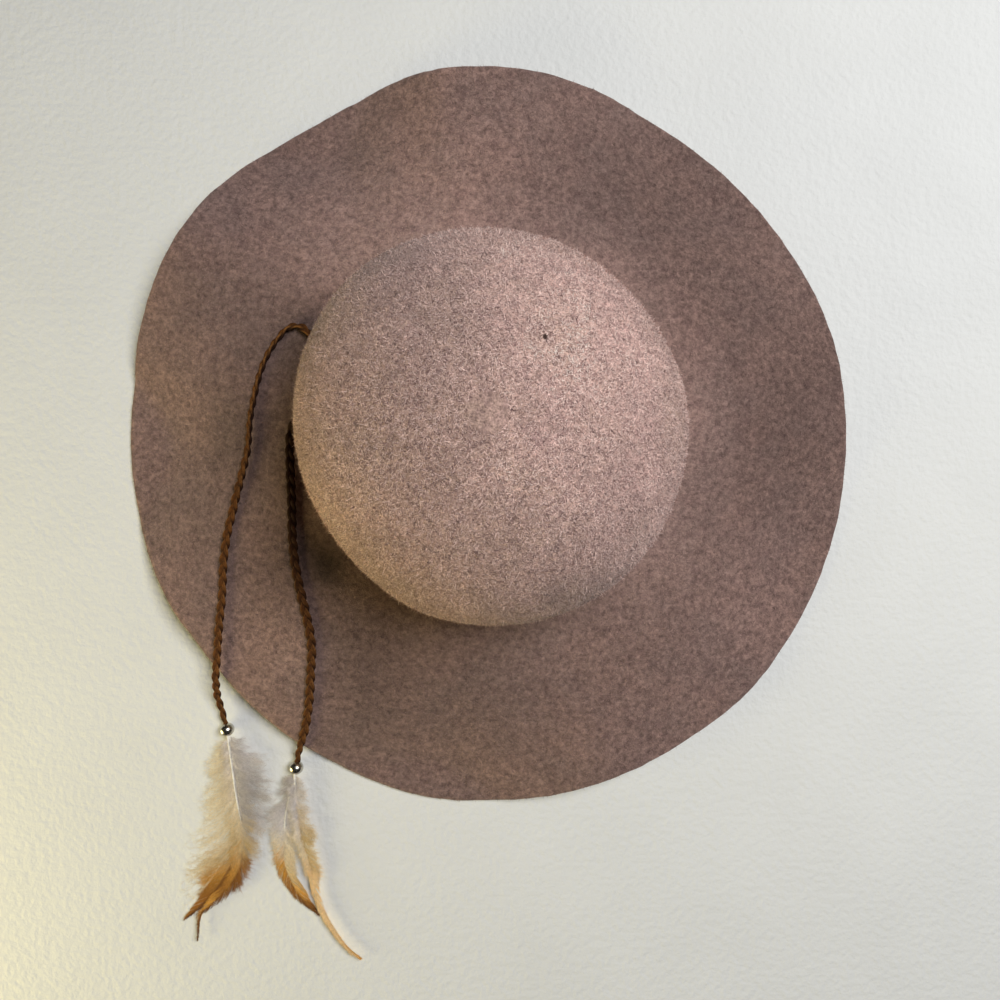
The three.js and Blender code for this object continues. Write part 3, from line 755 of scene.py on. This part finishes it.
def smooth_line(points, spacing, closed=False):
    """Even points along a centripetal curve through the given points."""
    control = np.array(points, float)
    if closed:
        control = np.concatenate([control[-1:], control, control[:2]])
    else:
        before = 2 * control[0] - control[1]
        after = 2 * control[-1] - control[-2]
        control = np.concatenate([[before], control, [after]])
    dense = []
    for p0, p1, p2, p3 in zip(control[:-3], control[1:-2], control[2:-1], control[3:]):
        pairs = ((p0, p1), (p1, p2), (p2, p3))
        d0, d1, d2 = (max(np.linalg.norm(b - a) ** 0.5, 1e-4) for a, b in pairs)
        m1 = ((p1 - p0) / d0 - (p2 - p0) / (d0 + d1) + (p2 - p1) / d1) * d1
        m2 = ((p2 - p1) / d1 - (p3 - p1) / (d1 + d2) + (p3 - p2) / d2) * d1
        u = np.linspace(0, 1, 60, endpoint=False)[:, None]
        dense.append(
            (2 * u**3 - 3 * u**2 + 1) * p1 + (u**3 - 2 * u**2 + u) * m1
            + (3 * u**2 - 2 * u**3) * p2 + (u**3 - u**2) * m2
        )
    line = np.concatenate([*dense, control[-2:-1]])
    run = np.concatenate([[0], np.cumsum(np.linalg.norm(np.diff(line, axis=0), axis=1))])
    steps = max(2, int(round(run[-1] / spacing)))
    place = np.linspace(0, run[-1], steps + 1)
    return np.stack([np.interp(place, run, line[:, k]) for k in range(3)], axis=1), place


def strand_rings(line, run, across, face_up, scale, period, strand):
    """Rings of points round one strand of a plait, and how near each point is to a cut edge."""
    turn = np.arange(STRAND_SIDES) * 2 * np.pi / STRAND_SIDES
    section_x = np.sign(np.cos(turn)) * np.abs(np.cos(turn)) ** STRAND_SQUARENESS
    section_y = np.sign(np.sin(turn)) * np.abs(np.sin(turn)) ** STRAND_SQUARENESS
    phase = 2 * np.pi * (run / period + strand / STRANDS)
    swing = PLAIT_SWING * np.sin(phase) * scale
    lift = PLAIT_LIFT * np.sin(2 * phase) * scale
    wander = STRAND_UNEVENNESS * lumps(line + strand * 37.0, 4.0, 30 + strand)
    centre = line + across * (swing + wander)[:, None] + face_up * lift[:, None]
    ahead = unit(np.gradient(centre, axis=0))
    lean = STRAND_LEAN * np.cos(phase)[:, None]
    flat = unit(np.cross(ahead, face_up) + face_up * lean)
    thick = np.cross(flat, ahead)
    uneven = 1 + STRAND_UNEVENNESS * lumps(line + strand * 91.0, 2.5, 40 + strand)
    wide = STRAND_WIDTH / 2 * scale * uneven
    deep = STRAND_DEPTH / 2 * scale
    rings = (
        centre[:, None] + flat[:, None] * (wide[:, None] * section_x)[..., None]
        + thick[:, None] * (deep[:, None] * section_y)[..., None]
    )
    return rings, np.tile(np.abs(section_x) ** 6, len(line))


def strand_ends(points, count):
    """A middle point and faces for both ends of each strand."""
    middles, faces = [], []
    for strand in range(STRANDS):
        first = strand * count * STRAND_SIDES
        for start, flip in ((first, False), (first + (count - 1) * STRAND_SIDES, True)):
            faces.append(fan_faces(len(points) + len(middles), start, STRAND_SIDES, flip))
            middles.append(points[start:start + STRAND_SIDES].mean(axis=0))
    return np.array(middles), np.concatenate(faces)


def plait(name, line, run, up, material, scale=None, wear_and_shade=None, closed=False):
    """A flat plait of three strands along a line. Up is the way that its flat face looks."""
    count = len(line)
    tangent = unit(np.gradient(line, axis=0))
    if closed:
        tangent = unit(np.roll(line[:-1], -1, axis=0) - np.roll(line[:-1], 1, axis=0))
        tangent = np.concatenate([tangent, tangent[:1]])
    across = unit(np.cross(tangent, up))
    face_up = np.cross(across, tangent)
    scale = np.ones(count) if scale is None else scale
    wear_and_shade = np.ones(count) if wear_and_shade is None else wear_and_shade
    period = run[-1] / round(run[-1] / PLAIT_PERIOD) if closed else PLAIT_PERIOD
    points, faces, edge, raised = [], [], [], []
    for strand in range(STRANDS):
        rings, near_edge = strand_rings(line, run, across, face_up, scale, period, strand)
        # Painted shade in the plait: a strand's height, times wear and shade along the tie, is kept so
        # that the suede darkens where the strand dips.
        height = ((rings - line[:, None]) * face_up[:, None]).sum(axis=-1) / scale[:, None]
        height = np.clip(height / (PLAIT_LIFT + STRAND_DEPTH / 2) + 0.15, 0, 1)
        points.append(rings.reshape(-1, 3))
        faces.append(grid_faces(count, STRAND_SIDES, strand * count * STRAND_SIDES))
        edge.append(near_edge)
        raised.append((height * wear_and_shade[:, None]).ravel())
    points = np.concatenate(points)
    groups = [np.concatenate(faces)]
    if not closed:
        middles, end_faces = strand_ends(points, count)
        points = np.concatenate([points, middles])
        groups.append(end_faces)
        edge.append(np.full(len(middles), 0.6))
        raised.append(np.full(len(middles), 0.6))
    shades = {"edge": np.concatenate(edge), "raised": np.concatenate(raised)}
    thing = new_object(name, points, groups, material, attributes=shades)
    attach(thing, "root")
    return thing


def knot_centre():
    radius = wall_radius(KNOT_AT, BAND_HEIGHT) + SEAT_GAP + KNOT_RADIUS
    return from_crown(KNOT_AT, radius, BAND_HEIGHT)


def band(material):
    angle = KNOT_AT + np.arange(BAND_POINTS) * 360 / BAND_POINTS
    radius = wall_radius(angle, BAND_HEIGHT) + SEAT_GAP + BAND_DEPTH / 2
    line, run = smooth_line(from_crown(angle, radius, BAND_HEIGHT), BAND_SPACING, closed=True)
    line[-1] = line[0]
    outward = line - from_crown(0, 0, BAND_HEIGHT)
    thing = plait("plaited_band", line, run, unit(outward), material, closed=True)
    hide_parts("hat_band")


def knot(material):
    """Two and a quarter turns of the plait, wound where the band's ends are tied."""
    centre = knot_centre()
    radians = np.radians(KNOT_AT)
    outward = np.array([math.cos(radians), math.sin(radians), 0])
    axis = np.array([-math.sin(radians), math.cos(radians), 0])
    u = np.linspace(0, 1, 40)
    angle = 2 * np.pi * KNOT_TURNS * u
    spokes = outward * np.cos(angle)[:, None] + UP * np.sin(angle)[:, None]
    along = (u - 0.5) * 2 * (KNOT_HALF_LENGTH - KNOT_PLAIT_INSET)
    path = centre + spokes * (KNOT_RADIUS - KNOT_PLAIT_DEPTH) + axis * along[:, None]
    line, run = smooth_line(path, TIE_SPACING)
    middle = centre + axis * np.dot(line - centre, axis)[:, None]
    thing = plait("band_knot", line, run, unit(line - middle), material)
    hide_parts("knot")


def tie(side, material):
    """One free end of the plait, from inside the knot to inside its bead."""
    route = np.array(TIES[side])
    lead = knot_centre() * KNOT_LEAD + route[0] * (1 - KNOT_LEAD)
    settled = route - np.array([0, 0, PLAIT_SETTLE])
    settled[-1] = route[-1]
    settled[-2, 2] = (settled[-2, 2] + route[-2, 2]) / 2
    ahead = unit(route[-1] - route[-2])
    inside = route[-1] + ahead * TIE_IN_BEAD
    line, run = smooth_line(np.concatenate([[lead], settled, [inside]]), TIE_SPACING)
    up = np.tile(UP, (len(line), 1))
    if side == "left":
        rows = columns(LEFT_TWIST, TWIST_COLUMNS)
        twist = np.radians(np.interp(run, rows["run"], rows["turned"]))
        tangent = unit(np.gradient(line, axis=0))
        level = unit(np.cross(tangent, up))
        up = np.cross(level, tangent) * np.cos(twist)[:, None] + level * np.sin(twist)[:, None]
    left_over = run[-1] - run
    taper = TIE_TAPER * np.clip(1 - left_over / TIE_TAPER_LENGTH, 0, 1) ** 0.8
    scale = TIE_SCALE[side] * (1 - taper)
    # Low values here are partly wear and partly painted shadow of the crown on the right tie's first
    # stretch.
    rows = columns(TIE_WEAR_AND_SHADE[side], WEAR_AND_SHADE_COLUMNS)
    wear_and_shade = np.interp(run, rows["run"], rows["worn"])
    thing = plait(f"tie_plait_{side}", line, run, up, material, scale=scale, wear_and_shade=wear_and_shade)
    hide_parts(f"tie_{side}")
    return thing, line, float(run[-1])


def bead_place(side):
    route = np.array(TIES[side])
    line, _ = smooth_line(route, 0.5)
    axis = line[-1] - line[-3]
    axis[2] = 0
    axis = unit(axis)
    centre = route[-1] + axis * (JOIN_GAP + BEAD_HALF_LENGTH)
    centre[2] = BEAD_RADIUS + 0.1
    return centre, axis


def bead(side, material):
    """A drilled ball, slightly short along its bore, with a rounded lip at each end."""
    centre, axis = bead_place(side)
    start = math.asin(BEAD_BORE / BEAD_RADIUS)
    turn = np.linspace(start, math.pi - start, BEAD_RINGS)
    outside = [(BEAD_RADIUS * math.sin(a), -BEAD_HALF_LENGTH * math.cos(a)) for a in turn]
    reach = BEAD_HALF_LENGTH * math.cos(start) - BEAD_LIP
    inside = [(BEAD_BORE * BORE_NARROWING, z) for z in np.linspace(reach, -reach, BORE_RINGS)]
    profile = outside + inside
    across = unit(np.cross(axis, UP))
    up = np.cross(across, axis)
    spin = np.arange(BEAD_SIDES) * 2 * np.pi / BEAD_SIDES
    ring = across * np.cos(spin)[:, None] + up * np.sin(spin)[:, None]
    rings = np.array([centre + ring * radius + axis * z for radius, z in profile])
    points = rings.reshape(-1, 3)
    faces = grid_faces(len(profile) + 1, BEAD_SIDES) % len(points)
    bore = np.repeat([0.0] * len(outside) + [1.0] * len(inside), BEAD_SIDES)
    thing = new_object(f"silver_bead_{side}", points, faces, material, attributes={"bore": bore})
    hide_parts(f"bead_{side}")
    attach(thing, "root")
    return thing


# Feathers

def tone_at(rows, place):
    along = [row[0] for row in rows]
    tones = np.array([row[1] for row in rows])
    return np.stack([np.interp(place, along, tones[:, k]) for k in range(3)], axis=-1)


def ribbons(path, across, half, tone):
    """Thin blades along many paths at once: points, quads and colours. Path is (blades, steps, 3)."""
    blades, steps = path.shape[:2]
    points = np.stack([path - across * half[..., None], path + across * half[..., None]], axis=2)
    base = (np.arange(blades)[:, None] * steps + np.arange(steps - 1)) * 2
    quads = np.stack([base, base + 1, base + 3, base + 2], axis=-1).reshape(-1, 4)
    colours = np.repeat(tone.reshape(-1, 3), 2, axis=0)
    return points.reshape(-1, 3), quads, colours


def barb_paths(curve, tangent, spec, place, sign, column):
    """The middle lines of one side's barbs. Down curls outwards, and firm barbs lie to the tip."""
    vane = columns(spec["vane"], VANE_COLUMNS)
    count = len(place)
    soft = np.clip((spec["downy"] - place) / 0.3, 0, 1)
    tuft = (place * spec["tufts"]).astype(int)
    tuft_reach = rng.uniform(0.76, 1.12, spec["tufts"])[tuft] * rng.triangular(0.55, 1.0, 1.1, count)
    ragged = soft * tuft_reach + (1 - soft) * rng.uniform(0.88, 1.04, count)
    reach = np.interp(place, vane["along"], vane[column]) * ragged
    lean = np.interp(place, [0, 1], spec["lean"]) + rng.normal(0, 2, count)
    lean = np.radians(lean + soft * (rng.normal(0, 6, spec["tufts"])[tuft] + rng.normal(0, 4, count)))
    index = np.clip((place * (len(curve) - 1)).astype(int), 0, len(curve) - 1)
    ahead = unit(tangent[index] * np.array([1, 1, 0]))
    outward = np.stack([-ahead[:, 1], ahead[:, 0], np.zeros(count)], axis=1) * sign
    covered = np.clip((place - spec["shown"]) / QUILL_COVER_BLEND, 0, 1)[:, None]
    root = curve[index] - outward * np.minimum(0.9, 0.35 * reach)[:, None] * covered
    length = np.linalg.norm(np.diff(curve, axis=0), axis=1).sum()
    left_over = (1 - place) * length + rng.uniform(-1.2, 1.2, count)
    along = np.minimum(reach / np.tan(lean), np.maximum(left_over, 0.2))[:, None, None]
    reach = reach[:, None, None]
    soft = soft[:, None, None]
    u = np.linspace(0, 1, BARB_STEPS)[None, :, None]
    forward = along * (soft * (1 - (1 - u) ** 1.5) + (1 - soft) * u**1.35)
    sideways = reach * (soft * u**1.25 + (1 - soft) * (u - 0.16 * u**3))
    swing = np.sin(u * rng.uniform(3, 7, (count, 1, 1)) + rng.uniform(0, 6.28, (count, 1, 1)))
    forward = forward + soft * 0.10 * reach * swing * u
    rise = soft * rng.uniform(-0.25, 1.9, (count, 1, 1)) * np.sin(u * np.pi * 0.6)
    rise = rise + ((1 - soft) * 0.35 + 0.3 * covered[..., None]) * np.sin(u * np.pi)
    path = root[:, None] + outward[:, None] * sideways + ahead[:, None] * forward
    path = path + UP * rise
    return path, soft[:, 0, 0], u


def barbules(path, tone, hairs):
    """Fine side hairs along barbs, which make down look soft."""
    blades, steps = path.shape[:2]
    count = blades * hairs["per_barb"]
    which = rng.integers(0, blades, count)
    place = rng.uniform(0.1, 0.98, count) * (steps - 1)
    low = np.floor(place).astype(int)
    share = (place - low)[:, None]
    high = np.minimum(low + 1, steps - 1)
    root = path[which, low] * (1 - share) + path[which, high] * share
    ahead = unit(path[which, high] - path[which, np.maximum(high - 1, 0)] + 1e-6)
    side = np.stack([-ahead[:, 1], ahead[:, 0], np.zeros(count)], axis=1)
    side = side * rng.choice([-1.0, 1.0], (count, 1))
    reach = (hairs["length"] * rng.uniform(0.4, 1.25, (count, 1)))[:, None]
    climb = rng.uniform(-0.15, 0.45, (count, 1))
    aim = unit(ahead * 0.85 + side * 0.8 + UP * climb)
    u = np.array([0, 0.5, 1.0])[None, :, None]
    line = root[:, None] + aim[:, None] * reach * u + ahead[:, None] * (0.35 * reach * u**2)
    across = np.broadcast_to(unit(np.cross(aim, UP))[:, None], line.shape)
    half = np.broadcast_to(hairs["width"] / 2 * np.array([1.0, 0.8, 0.25]), (count, 3))
    colour = np.repeat((tone[which, low] * rng.uniform(0.9, 1.15, (count, 1)))[:, None], 3, axis=1)
    return ribbons(line, across, half, colour)


def quill(curve, tangent, shown):
    """The quill, round and tapering. Past the part that is shown it lies under the barbs."""
    run = np.linspace(0, 1, len(curve))
    radius = QUILL_RADIUS * (1 - run) ** 0.8 + QUILL_TIP_RADIUS
    sunk = np.clip((run - shown) / QUILL_COVER_BLEND, 0, 1)
    curve = curve + UP * (QUILL_LIFT - 2 * QUILL_LIFT * sunk)[:, None]
    across = unit(np.cross(tangent, UP))
    up = np.cross(across, tangent)
    spin = np.arange(QUILL_SIDES) * 2 * np.pi / QUILL_SIDES
    ring = across[:, None] * np.cos(spin)[None, :, None] + up[:, None] * np.sin(spin)[None, :, None]
    rings = curve[:, None] + ring * radius[:, None, None]
    return rings.reshape(-1, 3), grid_faces(len(curve), QUILL_SIDES), run


def feather(name, material):
    """A quill from inside the bead to the tip, with barbs and their side hairs on both sides."""
    spec = FEATHERS[name]
    centre, axis = bead_place(spec["side"])
    root = centre + axis * (BEAD_HALF_LENGTH - QUILL_IN_BEAD)
    root[2] = spec["root_height"]
    rest = [(x, y, spec["rest_height"]) for x, y in spec["spine"]]
    curve, _ = smooth_line([root, *rest], 0.7)
    tangent = unit(np.gradient(curve, axis=0))
    parts = []
    for sign, column in ((1, "east"), (-1, "west")):
        place = np.sort(rng.uniform(0.015, 0.995, spec["barbs"]))
        path, soft, u = barb_paths(curve, tangent, spec, place, sign, column)
        ahead = unit(np.gradient(path, axis=1))
        across = unit(np.cross(ahead, UP))
        width = np.where(soft > 0.5, BARB_WIDTH_DOWNY, BARB_WIDTH_FIRM)
        width = width * rng.uniform(0.8, 1.2, len(place))
        half = width[:, None] / 2 * (1 - 0.75 * u[..., 0] ** 2)
        shifted = place[:, None] + 0.10 * u[..., 0] + rng.normal(0, 0.02, (len(place), 1))
        tone = tone_at(spec[f"{column}_tones"], shifted)
        tone = tone * rng.uniform(0.85, 1.15, (len(place), 1, 1))
        parts.append(ribbons(path, across, half, tone))
        downy = soft > 0.15
        for chosen, hairs in ((downy, DOWNY_HAIRS), (~downy, FIRM_HAIRS)):
            if chosen.any():
                parts.append(barbules(path[chosen], tone[chosen], hairs))
    quill_points, quill_faces, run = quill(curve, tangent, spec["shown"])
    tip = tone_at(spec["west_tones"], run)
    pale = np.clip(1.25 - run * 1.5, 0, 1)[:, None]
    quill_tone = np.repeat(np.array(QUILL) * pale + tip * (1 - pale), QUILL_SIDES, axis=0)
    parts.append((quill_points, quill_faces, quill_tone))
    starts = np.cumsum([0] + [len(part[0]) for part in parts])
    points = np.concatenate([part[0] for part in parts])
    points[:, 2] = np.maximum(points[:, 2], FEATHER_LOWEST)
    faces = np.concatenate([part[1] + start for part, start in zip(parts, starts)])
    tones = np.clip(np.concatenate([part[2] for part in parts]), 0, 1)
    thing = new_object(
        f"{name}_barbs", points, faces, material, smooth=False, attributes={"tone": tones}
    )
    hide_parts(name)
    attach(thing, "root")


# Camera, light and floor


def make_camera():
    data = bpy.data.cameras.new("camera")
    data.lens = CAMERA_LENS
    data.sensor_width = CAMERA_SENSOR
    data.clip_start = 0.01
    camera = bpy.data.objects.new("camera", data)
    camera.location = Vector(CAMERA_PLACE) * MM
    bpy.context.scene.collection.objects.link(camera)
    bpy.context.scene.camera = camera


def area_light(name, azimuth, elevation, distance, size, power, colour):
    """A square soft light aimed at the hat, from a direction counterclockwise from +X."""
    data = bpy.data.lights.new(name, "AREA")
    data.size = size
    data.energy = power
    data.color = colour
    light = bpy.data.objects.new(name, data)
    a, e = math.radians(azimuth), math.radians(elevation)
    aim = Vector((math.cos(a) * math.cos(e), math.sin(a) * math.cos(e), math.sin(e)))
    light.location = aim * distance
    light.rotation_mode = "QUATERNION"
    light.rotation_quaternion = aim.to_track_quat("Z", "Y")
    bpy.context.scene.collection.objects.link(light)


def make_stage():
    corners = np.array([(-1, -1, 0), (1, -1, 0), (1, 1, 0), (-1, 1, 0)]) * FLOOR_REACH
    floor = new_object("floor", corners, np.array([[0, 1, 2, 3]]), floor_material(), smooth=False)
    area_light("key_light", **KEY_LIGHT)
    area_light("warm_light", **WARM_LIGHT)
    world = bpy.data.worlds.new("studio")
    world.use_nodes = True
    background = world.node_tree.nodes["Background"]
    background.inputs["Color"].default_value = WORLD_COLOUR
    background.inputs["Strength"].default_value = WORLD_STRENGTH
    bpy.context.scene.world = world
    bpy.context.scene.view_settings.view_transform = "Standard"


# Build

make_camera()
suede = suede_material()
silver = silver_material()
plume = strand_material("feather", (1.4, 3.0, 0.6), 1.14, roughness=0.62, specular_ior_level=0.35)
for side in TIES:
    cord, line, length = tie(side, suede)
    ball = bead(side, silver)
band(suede)
knot(suede)
face, normal = hat_body(felt_material())
wool = strand_material("wool_fibre", (2.0, 2.0), 1.15, roughness=0.9, specular_ior_level=0.1)
crown_end = DOME_RINGS + WALL_RINGS
fibres("crown_fibres", face, normal, 1, crown_end, wool)
fibres("brim_fibres", face, normal, crown_end, len(face), wool)
for feather_name in FEATHERS:
    feather(feather_name, plume)
make_stage()
